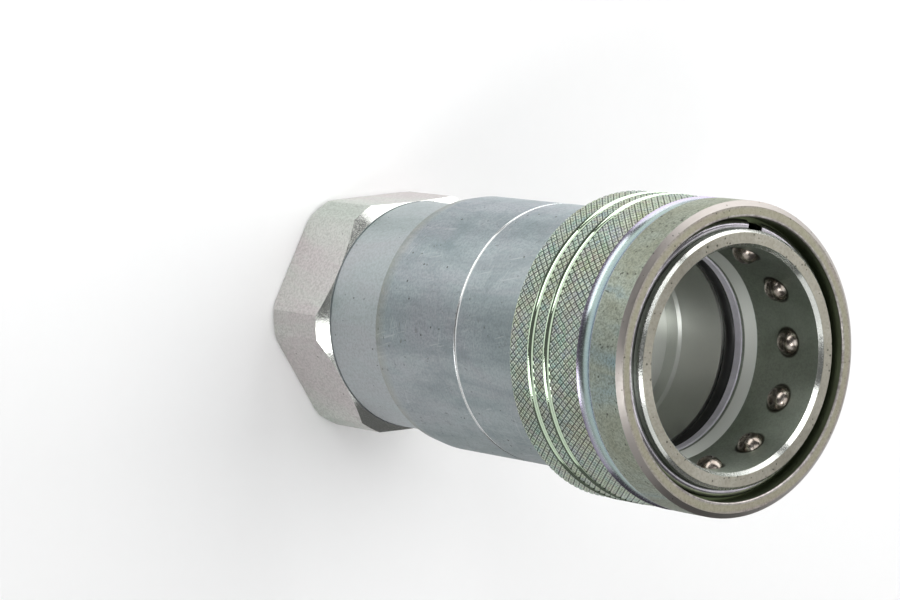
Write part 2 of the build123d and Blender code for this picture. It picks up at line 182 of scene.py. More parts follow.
class SleeveSizes(PropertyGroup):
    """Outside of the locking sleeve, with depths measured down from its front face."""

    radius: metres("Radius", "Outside radius", sleeve_high.x)
    mouth_radius: metres("Mouth radius", "Radius of the open mouth", 0.02335)
    mouth_edge: metres("Mouth edge", "Rounded inner edge of the face", 0.00015)
    bevel: metres("Bevel", "Width of the front bevel on the face", 0.0009)
    bevel_length: metres("Bevel length", "Length of the front bevel", 0.0007)
    stop_depth: metres("Stop depth", "Depth of the shoulder that the ring stops", 0.00355)
    step_radius: metres("Step radius", "Radius of the step in front of the land", 0.02256)
    land_radius: metres("Land radius", "Radius of the land over the balls", 0.021641)
    cam_front: metres("Cam front", "Depth of the cam's wide end", 0.006158)
    cam_back: metres("Cam back", "Depth of the cam's narrow end", 0.00775)
    land_end: metres("Land end", "Depth of the land's back end", 0.0122)
    pocket_radius: metres("Pocket radius", "Radius of the spring pocket", 0.0242)
    thumb_start: metres("Thumb hollow", "Depth of the thumb hollow's front edge", 0.00715)
    thumb_width: metres("Thumb hollow width", "Width of the thumb hollow", 0.0031)
    thumb_cut: metres("Thumb hollow cut", "Depth of the thumb hollow's arc", 0.00085)
    ring_first: metres("First ring", "Depth of the first polished ring's middle", 0.0179)
    ring_second: metres("Second ring", "Depth of the second polished ring's middle", 0.0219)
    ring_width: metres("Ring width", "Width of each polished ring", 0.0015)
    ring_cut: metres("Ring cut", "Depth of each polished ring's arc", 0.00055)
    rear_edge: metres("Rear edge", "Bevel at the back end", 0.0004)
    teeth: count("Knurl teeth", "Diamonds around the sleeve", 128, 24)
    knurl_rise: metres("Knurl pitch", "Length of a diamond along the axis", 0.00152)
    knurl_cut: metres("Knurl cut", "Depth of the knurl's valleys", 0.00022)
    knurl_flank: fraction("Knurl flank", "How far down the cut a diamond's shoulder lies", 0.3)
    second_track: fraction("Second track", "Depth of the line through each diamond", 0.45)
    cross_track: fraction("Cross track", "Depth of the line across it, as a part of it", 0.75)


class ThreadSizes(PropertyGroup):
    """The pipe thread in the port, a parallel G1 with 11 threads to the inch."""

    pitch: metres("Pitch", "Distance from thread to thread", 0.002309)
    minor_radius: metres("Minor radius", "Radius at the crests, which is the bore's", 0.01515)
    height: metres("Height", "Height of the thread, from crest to root", 0.00147)
    start: metres("Start", "Height above the port's face where the thread starts", 0.00175)
    end: metres("End", "Height above the port's face where the thread ends", 0.018)
    run_out: metres("Run-out", "Length over which the thread fades at each end", 0.0014)
    rows: count("Rows", "Mesh rows to one thread", 20, 8)


class SpringSizes(PropertyGroup):
    """The two coil springs."""

    sleeve_wire: metres("Sleeve spring wire", "Wire diameter", 0.0020)
    sleeve_mean: metres("Sleeve spring diameter", "Mean coil diameter", 0.0458)
    sleeve_turns: count("Sleeve spring turns", "Turns of wire", 3, 1)
    poppet_wire: metres("Poppet spring wire", "Wire diameter", 0.0015)
    poppet_mean: metres("Poppet spring diameter", "Mean coil diameter", 0.0184)
    poppet_turns: count("Poppet spring turns", "Turns of wire", 4, 1)


class FinishColours(PropertyGroup):
    """Base colours of the finishes."""

    body_light: tint("Body light", "Bright zinc of the body", (0.37, 0.42, 0.44))
    body_dark: tint("Body dark", "Duller zinc of the body", (0.29, 0.35, 0.36))
    body_rose: tint("Body rose", "Rose tint of the body", (0.38, 0.40, 0.43))
    shoulder: tint("Shoulder", "Tan tint of the body's back taper", (0.34, 0.32, 0.24))
    socket_light: tint("Socket light", "Bright zinc in the socket", (0.36, 0.40, 0.34))
    socket_dark: tint("Socket dark", "Duller zinc in the socket", (0.27, 0.31, 0.25))
    nose_light: tint("Nose light", "Bright zinc of the nose face", (0.46, 0.44, 0.38))
    nose_dark: tint("Nose dark", "Duller zinc of the nose face", (0.38, 0.36, 0.30))
    flat_light: tint("Flat light", "Bright zinc of the hexagon's flats", (0.60, 0.61, 0.58))
    flat_rose: tint("Flat rose", "Rose tint of the hexagon's flats", (0.60, 0.56, 0.56))
    flat_green: tint("Flat green", "Green tint of the hexagon's flats", (0.52, 0.57, 0.52))
    sleeve_light: tint("Sleeve light", "Bright zinc of the knurl", (0.35, 0.41, 0.32))
    sleeve_olive: tint("Sleeve olive", "Olive tint of the knurl", (0.32, 0.33, 0.22))
    sleeve_blue: tint("Sleeve blue", "Blue-green tint of the knurl", (0.28, 0.39, 0.38))
    sleeve_polish: tint("Ring polish", "Polished rings of the sleeve", (0.54, 0.66, 0.50))
    cove_blue: tint("Hollow blue", "Blue tint of the thumb hollow", (0.31, 0.42, 0.49))
    cove_green: tint("Hollow green", "Green tint of the thumb hollow", (0.36, 0.45, 0.42))
    cove_rose: tint("Hollow rose", "Violet tint at the thumb hollow's edges", (0.34, 0.30, 0.40))
    band_light: tint("Band light", "Bright zinc of the plain band", (0.36, 0.40, 0.34))
    band_dark: tint("Band dark", "Olive tint of the plain band", (0.30, 0.32, 0.25))
    band_blue: tint("Band blue", "Blue clouds of the plain band", (0.26, 0.36, 0.39))
    sleeve_inside: tint("Sleeve inside", "Olive wall inside the sleeve's mouth", (0.16, 0.19, 0.11))
    face_light: tint("Face light", "Warm zinc of the sleeve's face", (0.41, 0.385, 0.335))
    face_rose: tint("Face rose", "Rose tint of the sleeve's face", (0.41, 0.355, 0.335))
    face_yellow: tint("Face yellow", "Yellow-green tint of the sleeve's face", (0.40, 0.39, 0.25))
    bevel: tint("Bevel", "Polished front bevel of the sleeve", (0.35, 0.325, 0.305))
    # Polish also lightens the deep bore, as a painted highlight.
    polish: tint("Polish", "Polished bevels and cone", (0.74, 0.76, 0.72))
    # The cone's near-white colour is partly its polish and partly a painted highlight.
    cone: tint("Cone", "Bright cone behind the balls", (0.88, 0.90, 0.86))
    # The colour of the dark brown rims around the ball holes.
    oil: tint("Oil", "Brown oil around the balls", (0.030, 0.024, 0.016))
    # Pits, and also the painted shade in the knurl's valleys and tracks and at the polished rings'
    # edges.
    pit_and_groove_shade: tint("Pit", "Colour in pits and valleys", (0.05, 0.05, 0.04))
    rubber: tint("Rubber", "Seals", (0.012, 0.012, 0.013))
    ptfe: tint("Backup ring", "White plastic of the backup ring", (0.86, 0.83, 0.93))


class StageSizes(PropertyGroup):
    """Camera and light around the part."""

    lens: FloatProperty(
        name="Lens",
        description="Focal length on a 36 mm wide frame",
        default=147.4,
        subtype="DISTANCE_CAMERA",
    )
    camera_place: FloatVectorProperty(
        name="Camera",
        description="Place of the camera",
        default=(-0.0925, -0.4010, 0.5360),
        subtype="TRANSLATION",
    )
    camera_look: FloatVectorProperty(
        name="Look",
        description="Direction that the camera looks in",
        default=(0.1357, 0.6104, -0.7804),
    )
    camera_up: FloatVectorProperty(
        name="Up",
        description="Direction that is up in the picture",
        default=(-0.9901, 0.1111, -0.0853),
    )
    ambient: FloatProperty(
        name="Ambient", description="Strength of the world's light", default=0.12, min=0
    )


def woven(index):
    """Triangles over a grid of vertex numbers, two to each cell.

    The cell's diagonal runs from its lower left corner where row + column is even and from its
    lower right one where it is odd. The side that faces out is the one that sees rows run up and
    columns run to the left.
    """
    a, b = index[:-1, :-1], index[:-1, 1:]
    d, c = index[1:, :-1], index[1:, 1:]
    even = np.add.outer(np.arange(a.shape[0]), np.arange(a.shape[1]))[..., None] % 2 == 0
    first = np.where(even, np.stack([a, c, b], -1), np.stack([a, d, b], -1))
    second = np.where(even, np.stack([a, d, c], -1), np.stack([b, d, c], -1))
    return np.concatenate([first.reshape(-1, 3), second.reshape(-1, 3)])


def mesh_from_grid(name, points, close_rows=False, close_columns=True):
    """Makes a mesh from a (rows, columns, 3) grid of points, closed around as told."""
    rows, columns = points.shape[:2]
    index = np.arange(rows * columns).reshape(rows, columns)
    if close_rows:
        index = np.vstack([index, index[:1]])
    if close_columns:
        index = np.hstack([index, index[:, :1]])
    return mesh_from_triangles(name, points.reshape(-1, 3), woven(index))


def mesh_from_triangles(name, points, triangles):
    """Makes an object from points and from triangles of their numbers."""
    mesh = bpy.data.meshes.new(name)
    mesh.vertices.add(len(points))
    mesh.vertices.foreach_set("co", points.reshape(-1).astype(np.float32))
    mesh.loops.add(triangles.size)
    mesh.loops.foreach_set("vertex_index", triangles.reshape(-1).astype(np.int32))
    mesh.polygons.add(len(triangles))
    mesh.polygons.foreach_set("loop_start", np.arange(0, triangles.size, 3, dtype=np.int32))
    mesh.update(calc_edges=True)
    mesh.validate()
    piece = bpy.data.objects.new(name, mesh)
    bpy.context.scene.collection.objects.link(piece)
    return piece


def shade(piece, sharp_angle):
    """Smooth shading, with edges kept sharp where faces turn by more than this, in degrees."""
    mesh = piece.data
    mesh.polygons.foreach_set("use_smooth", np.ones(len(mesh.polygons), bool))
    mesh.set_sharp_from_angle(angle=math.radians(sharp_angle))


def note_on_points(piece, name, values):
    """Keeps one number for each vertex, which a material reads by this name."""
    attribute = piece.data.attributes.new(name, "FLOAT", "POINT")
    attribute.data.foreach_set("value", values.reshape(-1).astype(np.float32))


def around_axis(radius, angle, height):
    """Points (r cos a, r sin a, h), for arrays that stretch to one grid."""
    x, y = radius * np.cos(angle), radius * np.sin(angle)
    return np.stack(np.broadcast_arrays(x, y, height), -1)


def hollow(middle, width, cut, radius, steps):
    """Radii and depths along a turned hollow: an arc through both edges, cut deep in the middle."""
    bend = (width**2 / 4 + cut**2) / (2 * cut)
    reach = math.asin(width / 2 / bend)
    swing = np.linspace(-reach, reach, steps)
    return radius - cut + bend - bend * np.cos(swing), middle + bend * np.sin(swing)


def smooth(way):
    """Smooth step from 0 to 1."""
    return way * way * (3 - 2 * way)


def coil(low, high, turns, mean, wire, columns=72, sides=16):
    """Round wire wound as a helix, with its end turns closed and flat.

    The wire's middle is at (m cos a, m sin a, h(a)). h rises over the middle turns only, partly by
    a smooth step, so both ends lie flat on their seats. The wire's circle lies in the plane of the
    axis.
    """
    along = np.linspace(0, 1, turns * columns + 1)
    flat_share, smooth_share = 0.42 / turns, 0.35
    ramp = np.clip((along - flat_share) / (1 - 2 * flat_share), 0, 1)
    ramp = smooth(ramp) * smooth_share + ramp * (1 - smooth_share)
    lift = low + wire / 2 + (high - low - wire) * ramp
    side = np.arange(sides) * TURN / sides
    out = mean / 2 + wire / 2 * np.cos(side)
    turn = along * turns * TURN
    points = around_axis(out, turn[:, None], lift[:, None] + wire / 2 * np.sin(side))
    ends = np.repeat(points[[0, -1]].mean(axis=1, keepdims=True), sides, 1)
    return np.concatenate([ends[:1], points, ends[1:]])


class Finish:
    """A material's nodes, with one short call for each node.

    A coordinate or a noise that several calls share is made when it is first asked for.
    """

    def __init__(self, name):
        self.material = bpy.data.materials.new(name)
        self.material.use_nodes = True
        self.tree = self.material.node_tree
        self.tree.nodes.clear()

    def node(self, kind, inputs=None, **props):
        """Adds a node. A value in inputs that is a socket is linked, and any other is set."""
        made = self.tree.nodes.new(kind)
        for key, value in props.items():
            setattr(made, key, value)
        for key, value in (inputs or {}).items():
            if isinstance(value, bpy.types.NodeSocket):
                self.tree.links.new(value, made.inputs[key])
            else:
                made.inputs[key].default_value = value
        return made

    def math(self, operation, a, b=0.0, clamp=False):
        """One step of arithmetic, where a root takes only a."""
        made = self.node("ShaderNodeMath", {0: a, 1: b}, operation=operation, use_clamp=clamp)
        return made.outputs[0]

    def plus(self, a, b, clamp=False):
        return self.math("ADD", a, b, clamp)

    def minus(self, a, b, clamp=False):
        return self.math("SUBTRACT", a, b, clamp)

    def times(self, a, b, clamp=False):
        return self.math("MULTIPLY", a, b, clamp)

    def under(self, value, limit):
        """1 where value is less than limit, and 0 elsewhere."""
        return self.math("LESS_THAN", value, limit)

    def over(self, value, limit):
        """1 where value is more than limit, and 0 elsewhere."""
        return self.math("GREATER_THAN", value, limit)

    def span(self, value, low, high, to_low=0.0, to_high=1.0):
        """value from low..high to to_low..to_high, and no further."""
        inputs = {"Value": value, "From Min": low, "From Max": high}
        inputs |= {"To Min": to_low, "To Max": to_high}
        return self.node("ShaderNodeMapRange", inputs).outputs["Result"]

    def band(self, value, low, high, soft):
        """1 where value lies between low and high, with edges this soft, and 0 elsewhere."""
        rise = self.span(value, low - soft, low + soft)
        fall = self.span(value, high - soft, high + soft, 1.0, 0.0)
        return self.times(rise, fall)

    def mix(self, part, a, b):
        """Mixes two colours. Sockets 0, 6 and 7 of a colour mix are its factor, A and B."""
        made = self.node("ShaderNodeMix", {0: part}, data_type="RGBA")
        for socket, value in ((6, a), (7, b)):
            if isinstance(value, bpy.types.NodeSocket):
                self.tree.links.new(value, made.inputs[socket])
            else:
                made.inputs[socket].default_value = (*value, 1)
        return made.outputs[2]

    def lay(self, colour, *layers):
        """Lays tints over a colour, each given as where it lies, its strength and itself."""
        for where, strength, layer in layers:
            colour = self.mix(self.times(where, strength), colour, layer)
        return colour

    def ramp(self, value, *stops):
        """Colour ramp through stops of (place, colour)."""
        made = self.node("ShaderNodeValToRGB", {"Fac": value})
        elements = made.color_ramp.elements
        while len(elements) < len(stops):
            elements.new(0.5)
        for element, (place, colour) in zip(elements, stops):
            element.position = place
            element.color = (*colour, 1)
        return made.outputs["Color"]

    def noise(self, place, scale, detail=2.0, roughness=0.5, distortion=0.0):
        inputs = {"Vector": place, "Scale": scale, "Detail": detail}
        inputs |= {"Roughness": roughness, "Distortion": distortion}
        return self.node("ShaderNodeTexNoise", inputs).outputs["Fac"]

    def stretched(self, place, scale):
        """Place with its three numbers scaled, so that noise on it is drawn out."""
        return self.node("ShaderNodeMapping", {"Vector": place, "Scale": scale}).outputs[0]

    def noted(self, name):
        """Number that the mesh keeps for each vertex by this name."""
        made = self.node("ShaderNodeAttribute", attribute_name=name, attribute_type="GEOMETRY")
        return made.outputs["Fac"]

    @cached_property
    def place(self):
        """Place on the object."""
        return self.node("ShaderNodeTexCoord").outputs["Object"]

    @cached_property
    def xyz(self):
        """Place on the object as three numbers."""
        return list(self.node("ShaderNodeSeparateXYZ", {0: self.place}).outputs)

    @cached_property
    def radius(self):
        """Distance from the axis."""
        x, y = (self.math("POWER", number, 2.0) for number in self.xyz[:2])
        return self.math("SQRT", self.plus(x, y))

    @cached_property
    def depth(self):
        """Depth below the nose face."""
        return self.minus(top, self.xyz[2])

    @cached_property
    def feed(self):
        """Turning coordinate z + 0.6 r.

        It changes across every turned face, whether it is a wall, a cone or an end, so noise on it
        draws the tool's fine rings.
        """
        return self.plus(self.xyz[2], self.times(self.radius, 0.6))

    @cached_property
    def fleck(self):
        """Fine grain of plating."""
        return self.noise(self.place, GRAIN_SCALE, 2.0, 0.7)

    @cached_property
    def fine(self):
        """The tool's fine rings under plating."""
        return self.rings(PLATED_RINGS)

    def rings(self, scale):
        """Noise that is long around the axis and fine across the tool's rings."""
        x, y = (self.times(number, RING_DRIFT) for number in self.xyz[:2])
        inputs = {"X": x, "Y": y, "Z": self.times(self.feed, scale)}
        lines = self.node("ShaderNodeCombineXYZ", inputs).outputs[0]
        return self.noise(lines, 1.0, 2.0, 0.6)

    def clouds(self, colours, size=70.0, fleck_strength=0.25):
        """Passivation: the colours follow each other along a slow noise, under a dark grain."""
        slow = self.noise(self.stretched(self.place, (1.0, 1.0, 0.45)), size, 4.0, 0.62, 0.8)
        step = 0.42 / (len(colours) - 1)
        colour = self.ramp(slow, *((0.30 + step * k, colour) for k, colour in enumerate(colours)))
        return self.mix(self.span(self.fleck, 0.42, 0.62, 0.0, fleck_strength), colour, GRAIN)

    def pits(self, size, few, widest):
        """Round pits, 1 inside and 0 outside, one in each cell of a pattern that is picked."""
        inputs = {"Vector": self.place, "Scale": size, "Randomness": 1.0}
        cells = self.node("ShaderNodeTexVoronoi", inputs)
        pick = self.node("ShaderNodeSeparateColor", {0: cells.outputs["Color"]}).outputs[0]
        return self.under(cells.outputs["Distance"], self.span(pick, few, 1.0, 0.0, widest))

    def torn(self, size, few):
        """Ragged worn patches from 0 to 1, where a rough noise is above few."""
        return self.span(self.noise(self.place, size, 6.0, 0.78, 1.6), few, few + 0.03)

    def scratches(self, slant, scale, few):
        """Thin scratches at a slant on the body's wall, from a drawn out noise on (arc, z)."""
        x, y, z = self.xyz
        arc = self.times(self.math("ARCTAN2", x, y), BODY_RADIUS)
        flat = self.node("ShaderNodeCombineXYZ", {"X": arc, "Y": z, "Z": 0.0}).outputs[0]
        inputs = {"Vector": flat, "Rotation": (0, 0, slant)}
        slanted = self.node("ShaderNodeMapping", inputs).outputs[0]
        lines = self.noise(self.stretched(slanted, (*scale, 1.0)), 100.0, 2.0, 0.5)
        patch = self.noise(flat, 120.0, 1.0, 0.5)
        return self.times(self.span(lines, few, few + 0.03), self.span(patch, 0.52, 0.60))

    def ball_rims(self):
        """Dark brown rims around the ball holes, from 0 to 1, inside the socket.

        One hole serves for all: the angle is folded into the slice around a ball.
        """
        x, y, z = self.xyz
        piece = TURN / ball_count
        turned_on = self.plus(self.math("ARCTAN2", y, x), piece / 2)
        inputs = {0: turned_on, 1: piece, 2: 0.0}
        folded = self.node("ShaderNodeMath", inputs, operation="WRAP").outputs[0]
        arc = self.times(self.minus(folded, piece / 2), socket_radius)
        rise = self.minus(z, ball_middle)
        square = self.plus(self.math("POWER", arc, 2.0), self.math("POWER", rise, 2.0))
        away = self.math("SQRT", square)
        rim = self.span(away, ball_radius + RIM_START, ball_radius + RIM_END, 1.0, 0.0)
        return self.times(rim, self.under(self.radius, socket_radius + RIM_REACH))

    def bump(self, height, distance):
        inputs = {"Height": height, "Distance": distance, "Strength": 1.0}
        return self.node("ShaderNodeBump", inputs).outputs["Normal"]

    def surface(self, colour, roughness, **more):
        """Ends the nodes in one shader and gives the material."""
        inputs = {"Base Color": colour, "Roughness": roughness, **more}
        shader = self.node("ShaderNodeBsdfPrincipled", inputs)
        self.node("ShaderNodeOutputMaterial", {"Surface": shader.outputs[0]})
        return self.material

    def metal(self, colour, roughness, normal, anisotropic=0.0):
        """Metal, whose shine is drawn out around the axis where it is anisotropic."""
        more = {"Metallic": 1.0, "Normal": normal}
        if anisotropic:
            tangent = self.node("ShaderNodeTangent", direction_type="RADIAL", axis="Z").outputs[0]
            more |= {"Anisotropic": anisotropic, "Anisotropic Rotation": 0.25, "Tangent": tangent}
        return self.surface(colour, roughness, **more)

    def dull(self, low, high):
        """Roughness of plating, which its rings and its grain move between low and high."""
        grain = self.plus(self.times(self.fine, 0.4), self.times(self.fleck, 0.6))
        return self.span(grain, 0.3, 0.7, low, high)

    def plated(self, colour, rough, marks, ring_share, anisotropic=0.0):
        """Metal with the relief of plating: rings, grain and the pits in marks."""
        relief = self.plus(self.times(self.fine, ring_share), self.fleck)
        relief = self.minus(relief, self.times(marks, 2.0))
        return self.metal(colour, rough, self.bump(relief, PLATED_RELIEF), anisotropic)


def zinc_body(name, c):
    """Plated body: blue-grey outside, green-grey in the socket, dull on the nose face.

    Zones are told apart by depth below the nose face and by distance from the axis.
    """
    f = Finish(name)
    outside = f.times(f.span(f.radius, *OUTER_RADII), f.span(f.depth, *OUTER_DEPTHS))
    taper = f.times(outside, f.span(f.depth, *TAPER_DEPTHS, 0.0, 0.55))
    line = f.times(outside, f.band(f.depth, *LINE_DEPTHS, soft=0.00004))
    nose = f.under(f.depth, NOSE_DEPTH)
    bevel = f.band(f.depth, *NOSE_BEVEL, soft=0.00002)
    cone = f.band(f.depth, *CONE_DEPTHS, soft=0.00005)
    bore = f.times(f.over(f.depth, BORE_DEPTH), f.under(f.radius, BORE_RADIUS))
    blue = f.clouds((c.body_dark, c.body_light, c.body_rose, c.body_light))
    green = f.clouds((c.socket_dark, c.socket_light, c.socket_dark))
    warm = f.clouds((c.nose_light, c.nose_dark, c.nose_light), 120.0, 0.2)
    # The deep bore's light polish colour is a painted highlight, and the cone's near-white colour
    # is partly polish, partly a painted highlight.
    colour = f.lay(f.mix(outside, green, blue), (bore, 0.95, c.polish))
    for zone, look in ((bevel, c.polish), (cone, c.cone), (nose, warm), (taper, c.shoulder)):
        colour = f.mix(zone, colour, look)

    # Pits in a part of the outside and on the nose, then scuffs, smudges, scratches, and light and
    # dark streaks along the axis, which are painted reflections.
    lower = f.span(f.noise(f.place, 45.0, 1.0, 0.5), 0.35, 0.55)
    marks = f.times(f.times(f.pits(700.0, 0.35, 0.17), lower), outside)
    marks = f.math("MAXIMUM", marks, f.times(f.pits(1150.0, 0.15, 0.24), nose))
    scuffs = f.times(f.torn(260.0, 0.625), outside)
    smudge = f.times(f.span(f.noise(f.place, 90.0, 5.0, 0.7, 1.0), 0.50, 0.62), outside)
    along, around = f.scratches(0.25, (24.0, 0.9), 0.64), f.scratches(1.35, (26.0, 0.8), 0.65)
    scratch = f.times(f.plus(along, around), outside, clamp=True)
    # Light and dark streaks drawn out along the axis are painted reflections.
    drawn = f.stretched(f.place, (1.0, 1.0, 0.16))
    dark_reflection = f.times(f.span(f.noise(drawn, 210.0, 4.0, 0.65, 0.6), 0.44, 0.66), outside)
    light_reflection = f.times(f.span(f.noise(drawn, 60.0, 2.0, 0.5), 0.40, 0.60), outside)
    colour = f.lay(
        colour,
        (light_reflection, 0.30, LIGHT_REFLECTION_STREAK),
        (dark_reflection, 0.40, DARK_REFLECTION_STREAK),
        (smudge, 0.38, SMUDGE),
        (scuffs, 0.6, BODY_SCUFF),
        (scratch, 0.30, SCRATCH),
        (marks, 0.8, c.pit_and_groove_shade),
        (f.ball_rims(), 0.9, c.oil),
    )
    # The turned line is lightened all round: a painted highlight, on top of its lower roughness.
    colour = f.mix(line, colour, TURNED_LINE_HIGHLIGHT)

    rough = f.minus(f.dull(0.44, 0.60), f.times(f.minus(1.0, outside), 0.12))
    shine = f.plus(line, f.times(bevel, 0.5), clamp=True)
    rough = f.minus(rough, f.times(shine, 0.30), clamp=True)
    rough = f.plus(rough, f.times(cone, 0.35))
    return f.plated(colour, rough, marks, 0.5, anisotropic=0.85)


def zinc_adapter(name, c):
    """Plated adapter: blue-grey neck, lighter flats with rose and green clouds, polished bevels.

    The bevel over the corners of the hexagon is told by its slope, where the normal leans to the
    front.
    """
    f = Finish(name)
    normal = f.node("ShaderNodeTexCoord").outputs["Normal"]
    lean = f.node("ShaderNodeSeparateXYZ", {0: normal}).outputs["Z"]
    outer = f.over(f.radius, NECK_RADIUS)
    bevel = f.times(f.band(lean, 0.25, 0.97, soft=0.02), outer)
    flats = f.times(f.under(f.xyz[2], FLATS_HEIGHT), outer)
    blue = f.clouds((c.body_dark, c.body_light, c.body_rose, c.body_light))
    light = f.clouds((c.flat_green, c.flat_light, c.flat_rose, c.flat_light), 55.0)
    colour = f.mix(flats, f.mix(0.16, blue, c.polish), light)
    colour = f.mix(bevel, colour, c.polish)
    marks = f.times(f.pits(700.0, 0.55, 0.13), outer)
    scuffs = f.times(f.torn(260.0, 0.66), outer)
    colour = f.lay(colour, (scuffs, 0.5, HEX_SCUFF), (marks, 0.8, c.pit_and_groove_shade))
    rough = f.minus(f.dull(0.40, 0.56), f.times(bevel, 0.28))
    return f.plated(colour, rough, marks, 0.5, anisotropic=0.7)


def zinc_sleeve(name, c, s):
    """Outside of the sleeve: knurl with painted shade and highlights, polished rings, tinted thumb
    hollow and pitted plain band.

    The mesh says where the knurl's valleys, its second tracks and the polish are.
    """
    f = Finish(name)
    valley, track, polish = (f.noted(note) for note in ("valley", "track", "polish"))
    thumb_end = s.thumb_start + s.thumb_width
    band = f.band(f.depth, s.bevel_length, s.thumb_start, soft=0.0001)
    thumb = f.band(f.depth, s.thumb_start - 0.0001, thumb_end + 0.0001, soft=0.00005)
    knurl = f.clouds((c.sleeve_olive, c.sleeve_light, c.sleeve_blue, c.sleeve_light), 110.0, 0.3)
    plain = f.clouds((c.band_blue, c.band_light, c.band_dark, c.band_light), 60.0, 0.5)

    # Facets of chance colours and painted sparkle highlights over the knurl, painted highlights on
    # its shoulders, and painted shade in its valleys and second tracks.
    glints = f.node("ShaderNodeTexVoronoi", {"Vector": f.place, "Scale": 700.0}).outputs["Color"]
    colour = f.mix(0.08, knurl, glints)
    sparkle = f.span(f.noise(f.place, 1300.0, 2.0, 0.8), 0.46, 0.62, 0.0, 0.60)
    colour = f.mix(sparkle, colour, SPARKLE)
    # Painted highlights on the shoulders beside the knurl's valleys.
    shoulder = f.band(valley, 0.20, 0.44, soft=0.08)
    patch = f.span(f.noise(f.place, 150.0, 2.0, 0.6), 0.38, 0.60, 0.15, 0.85)
    # Painted shade in patches along the knurl's second tracks.
    track_shade = f.span(track, 0.50, 0.80)
    colour = f.lay(colour, (shoulder, 0.5, SHOULDER_HIGHLIGHT), (track_shade, patch, c.pit_and_groove_shade))
    # Painted shade in the knurl's valleys.
    colour = f.mix(f.span(valley, 0.50, 0.82, 0.0, 0.88), colour, c.pit_and_groove_shade)
    colour = f.mix(band, colour, plain)

    # Polished rings with painted shade towards their edges, and the tinted thumb hollow.
    ring_tint_and_shade = f.ramp(f.span(polish, 0.0, 1.0), (0.55, c.pit_and_groove_shade), (0.98, c.sleeve_polish))
    in_ring = f.times(f.span(polish, 0.15, 0.5), f.span(f.depth, *RINGS_DEPTHS))
    colour = f.mix(in_ring, colour, ring_tint_and_shade)
    thumb_tint = f.ramp(
        f.span(f.depth, s.thumb_start, thumb_end),
        (0.0, c.cove_rose),
        (0.2, c.cove_blue),
        (0.75, c.cove_green),
        (1.0, c.cove_rose),
    )
    spots = f.math("MAXIMUM", f.pits(1000.0, 0.20, 0.22), f.torn(420.0, 0.615))
    marks = f.times(spots, band)
    colour = f.lay(colour, (thumb, polish, thumb_tint), (marks, 0.8, c.pit_and_groove_shade))
    rough = f.minus(f.dull(0.44, 0.60), f.times(f.math("MAXIMUM", polish, shoulder), 0.28))
    rough = f.minus(rough, f.times(in_ring, 0.14), clamp=True)
    return f.plated(colour, rough, marks, 0.4, anisotropic=0.8)


def zinc_mouth(name, c, s):
    """Bevel, face and inside of the sleeve.

    The face is rose at the rim and yellow further in, and the mouth is olive inside.
    """
    f = Finish(name)
    bevel = f.over(f.radius, s.radius - s.bevel)
    inside = f.times(f.over(f.depth, MOUTH_DEPTH), f.under(f.radius, s.pocket_radius))
    warm = f.clouds((c.face_rose, c.face_light, c.face_rose), 75.0, 0.35)
    across = f.span(f.radius, s.mouth_radius, s.radius - s.bevel)
    drift = f.plus(across, f.span(f.noise(f.place, 40.0, 2.0, 0.5), 0.3, 0.7, -0.2, 0.2))
    yellow = f.band(drift, 0.12, 0.80, soft=0.12)
    lip = f.under(f.radius, s.mouth_radius + LIP_WIDTH)
    rag = f.span(f.noise(f.place, 900.0, 3.0, 0.7), 0.40, 0.62)
    burr = f.mix(rag, BURR_DARK, BURR_LIGHT)
    colour = f.lay(warm, (yellow, 0.45, c.face_yellow), (lip, 0.45, burr))
    colour = f.mix(bevel, colour, c.bevel)
    marks = f.math("MAXIMUM", f.pits(1150.0, 0.25, 0.22), f.torn(420.0, 0.66))
    colour = f.mix(inside, f.lay(colour, (marks, 0.6, c.pit_and_groove_shade)), c.sleeve_inside)
    rough = f.minus(f.dull(0.34, 0.50), f.times(bevel, 0.04))
    return f.plated(colour, rough, marks, 0.4)


def plain_steel(name, light, dark):
    """Bare turned steel, with fine rings and no tint."""
    f = Finish(name)
    rings = f.rings(STEEL_RINGS)
    colour = f.mix(f.span(f.noise(f.place, 260.0, 3.0, 0.6), 0.35, 0.65), dark, light)
    rough = f.span(rings, 0.3, 0.7, 0.16, 0.30)
    return f.metal(colour, rough, f.bump(rings, STEEL_RELIEF), anisotropic=0.4)


def ball_steel(name, light, dark):
    """Hardened polished ball, with faint running marks."""
    f = Finish(name)
    marks = f.noise(f.place, 900.0, 3.0, 0.6, 0.6)
    colour = f.mix(f.span(marks, 0.4, 0.7), dark, light)
    return f.metal(colour, f.span(marks, 0.3, 0.7, 0.16, 0.30), f.bump(marks, STEEL_RELIEF))


def seal_rubber(name, colour):
    """Black nitrile with a dull sheen and a light film of oil."""
    f = Finish(name)
    film = f.noise(f.place, 220.0, 2.0, 0.5)
    tone = f.mix(f.span(film, 0.4, 0.7), colour, [number * 2.2 for number in colour])
    grain = f.noise(f.place, 2600.0, 3.0, 0.6)
    rough = f.span(film, 0.3, 0.7, 0.32, 0.55)
    return f.surface(tone, rough, Normal=f.bump(grain, RUBBER_RELIEF))


def white_plastic(name, colour):
    """Slightly waxy plastic of the backup ring."""
    f = Finish(name)
    cloud = f.noise(f.place, 300.0, 3.0, 0.6)
    tone = f.mix(f.span(cloud, 0.35, 0.7), colour, [number * 0.8 for number in colour])
    rough = f.span(cloud, 0.3, 0.7, 0.35, 0.5)
    return f.surface(tone, rough, Normal=f.bump(f.rings(PLASTIC_RINGS), PLASTIC_RELIEF))


def dress(name, material):
    """Gives a node of the frame one finish on all its faces."""
    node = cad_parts[name]
    node.data.materials.clear()
    node.data.materials.append(material)


